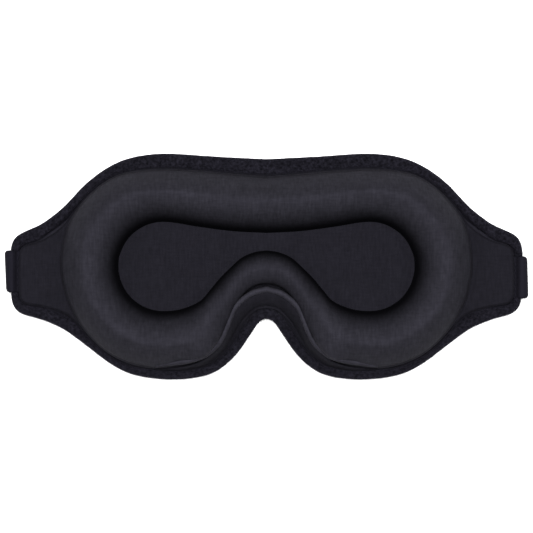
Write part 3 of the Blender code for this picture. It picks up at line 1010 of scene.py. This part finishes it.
# ---- patches ----
def patch_frame(node, s):
    """A patch's start, end and half width along its strap, and its lowest and highest level."""
    points = [v.co for v in frame["nodes"][node].data.vertices]
    along = [(p - s.swing).dot(s.along) for p in points]
    across = [(p - s.swing).dot(s.across) for p in points]
    low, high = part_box(node)
    return (min(along), max(along), max(across)), low.z, high.z


def patch_base(name, s, span, back, face, mat, pile=0.0):
    """A rectangular patch with rounded corners and edges, from its back's level to its face's.

    pile is the depth of the roughness on the face.
    """
    start, end, half = span
    cols, rows = int((end - start) / PATCH_GRID), int(2 * half / PATCH_GRID)
    points = []
    for i in range(cols + 1):
        for j in range(rows + 1):
            d = start + (end - start) * (i / cols)
            near = min(d - start, end - d)
            cut = max(PATCH_CORNER - near, 0)
            limit = half - (PATCH_CORNER - math.sqrt(max(PATCH_CORNER**2 - cut**2, 0)) if cut else 0)
            v = (j / rows * 2 - 1) * limit
            points.append((d, v, min(near, limit - abs(v))))
    outward = 1 if face > back else -1
    world = []
    for d, v, _ in points:
        at = s.point(d, v)
        world.append((at.x, at.y, back))
    for d, v, near in points:
        at = s.point(d, v)
        ease = math.sqrt(max(0, 1 - (1 - min(near / (0.5 * MM), 1)) ** 2))
        z = back + (face - back) * (0.55 + 0.45 * ease)
        z += outward * pile * min(near / MM, 1) * rough((d, v, 0), 0.9 * MM, 2.0)
        world.append((at.x, at.y, z))
    obj = make_piece(name, world, two_layer_faces(cols + 1, rows + 1), mat)
    tidy_mesh(obj)
    return obj


def patch_stitches(name, s, span, z, up, mats, body):
    """Stitches along the four sides of a patch."""
    start, end, half = span
    start, end, half = start + PATCH_SEAM, end - PATCH_SEAM, half - PATCH_SEAM
    corners = [s.point(d, v) for d, v in ((start, -half), (end, -half), (end, half), (start, half))]
    for corner in corners:
        corner.z = z
    stitches = []
    for a, b in zip(corners, corners[1:] + corners[:1]):
        stitches += stitch_rows([a, b], 0.5 * MM, 2.0 * MM)
    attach(thread_run(name, stitches, 0.16 * MM, mats, up), body)


def loop_patch(s, mats):
    span, low, high = patch_frame("left_loop_patch", s)
    back, face = low - 0.3 * MM, high - 0.25 * MM
    obj = patch_base("left_loop_pad", s, span, back, face, mats["loop"], pile=0.22 * MM)
    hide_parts("left_loop_patch")
    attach(obj, "left_strap_end")
    patch_stitches("left_loop_stitches", s, span, high - 0.2 * MM, 1, mats, "left_strap_end")


def hook_patch(s, mats):
    span, low, high = patch_frame("right_hook_patch", s)
    face = high - 0.35 * MM
    obj = patch_base("right_hook_base", s, span, high + 0.3 * MM, face, mats["hook"])
    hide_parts("right_hook_patch")
    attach(obj, "right_strap_end")
    margin = 1.9 * MM
    field = (span[0] + margin, span[1] - margin, span[2] - margin)
    hooks = hook_field(s, field, face, low, mats)
    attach(hooks, "right_strap_end")
    patch_stitches("right_hook_stitches", s, span, face, -1, mats, "right_strap_end")


def hook_field(s, span, top, bottom, mats):
    """Rows of small curled hooks under the base, leaning to one side and the other in turn."""
    start, end, half = span
    points, faces = [], []
    sides = 5
    down = top - bottom - 0.27 * MM     # leaves room for a hook's own thickness
    upward = Vector((0, 0, 1))
    cols, rows = int((end - start) / HOOK_PITCH), int(2 * half / HOOK_PITCH)
    for i in range(cols + 1):
        for j in range(rows + 1):
            foot = s.point(start + (end - start) * i / cols, -half + 2 * half * j / rows)
            foot.z = top
            lean = s.along * (1 if j % 2 else -1)
            faces += tube_faces(len(points), len(HOOK_CURL), sides)
            for k, (out, share) in enumerate(HOOK_CURL):
                r = (0.17 - 0.012 * k) * MM
                centre = foot + lean * (out * 0.62 * MM) - upward * (share * down)
                tilt = math.pi / 2 * min(1, out * 2.6)
                normal = lean * math.cos(tilt) + upward * math.sin(tilt)
                for m in range(sides):
                    turn = 2 * math.pi * m / sides
                    points.append(centre + s.across * (r * math.cos(turn)) + normal * (r * math.sin(turn)))
    return make_piece("right_hooks", points, faces, mats["hook"])


# ---- stage ----
def area_light(name, place, size, power):
    """A rectangular light that faces the mask's middle."""
    data = bpy.data.lights.new(name, "AREA")
    data.shape = "RECTANGLE"
    data.size, data.size_y = size
    data.energy = power
    obj = bpy.data.objects.new(name, data)
    obj.location = place
    obj.rotation_euler = (-Vector(place)).to_track_quat("-Z", "Y").to_euler()
    bpy.context.scene.collection.objects.link(obj)


def make_floor():
    mesh = bpy.data.meshes.new("floor")
    work = bmesh.new()
    bmesh.ops.create_circle(work, cap_ends=True, segments=96, radius=0.7)
    work.to_mesh(mesh)
    work.free()
    floor = bpy.data.objects.new("floor", mesh)
    floor.location.z = -0.2 * MM
    bpy.context.scene.collection.objects.link(floor)
    paper = bpy.data.materials.new("floor_paper")
    paper.use_nodes = True
    shader = paper.node_tree.nodes["Principled BSDF"]
    shader.inputs["Base Color"].default_value = (0.9, 0.9, 0.9, 1)
    shader.inputs["Roughness"].default_value = 0.9
    mesh.materials.append(paper)


def make_world():
    """A dim world light, behind which the camera sees the same white as the floor."""
    world = bpy.data.worlds.new("studio")
    world.use_nodes = True
    tree = world.node_tree
    dim = tree.nodes["Background"]
    dim.inputs["Color"].default_value = (1, 1, 1, 1)
    dim.inputs["Strength"].default_value = 0.05
    pale = tree.nodes.new("ShaderNodeBackground")
    pale.inputs["Color"].default_value = (1, 1, 1, 1)
    seen = tree.nodes.new("ShaderNodeLightPath")
    mix = tree.nodes.new("ShaderNodeMixShader")
    tree.links.new(seen.outputs["Is Camera Ray"], mix.inputs["Fac"])
    tree.links.new(dim.outputs["Background"], mix.inputs[1])
    tree.links.new(pale.outputs["Background"], mix.inputs[2])
    tree.links.new(mix.outputs["Shader"], tree.nodes["World Output"].inputs["Surface"])
    bpy.context.scene.world = world


def stage():
    make_floor()
    make_world()
    area_light("key_left", (-0.75, 0.05, 0.85), (0.4, 0.4), 4.0)
    area_light("key_right", (0.75, 0.05, 0.85), (0.4, 0.4), 4.0)
    area_light("top_soft", (0, 0.10, 1.2), (0.5, 0.35), 27.0)
    view = bpy.context.scene.view_settings
    view.view_transform = "Standard"
    view.gamma = 0.8


def camera():
    """Straight above the middle, as far away as a long lens needs for a view about 240 mm wide."""
    data = bpy.data.cameras.new("camera")
    data.lens = 130
    data.sensor_width = 36
    data.clip_start, data.clip_end = 0.05, 10
    obj = bpy.data.objects.new("camera", data)
    view_width = 1.016 * (cad_bounds[1].x - cad_bounds[0].x)
    obj.location = (0, 0, LINER_LOW + view_width * data.lens / data.sensor_width)
    bpy.context.scene.collection.objects.link(obj)
    bpy.context.scene.camera = obj


def main():
    camera()
    mats = make_materials()
    outer_cover(mats)
    outer_foam(mats)
    liner(mats)
    edge_binding(mats)
    cushion_core(mats)
    cushion_skin(mats)
    nose_flap(mats)
    left = strap_pieces("left", mats)
    right = strap_pieces("right", mats)
    loop_patch(left, mats)
    hook_patch(right, mats)
    bar_tack("left", mats)
    bar_tack("right", mats)
    binding_stitches(mats)
    stage()


main()
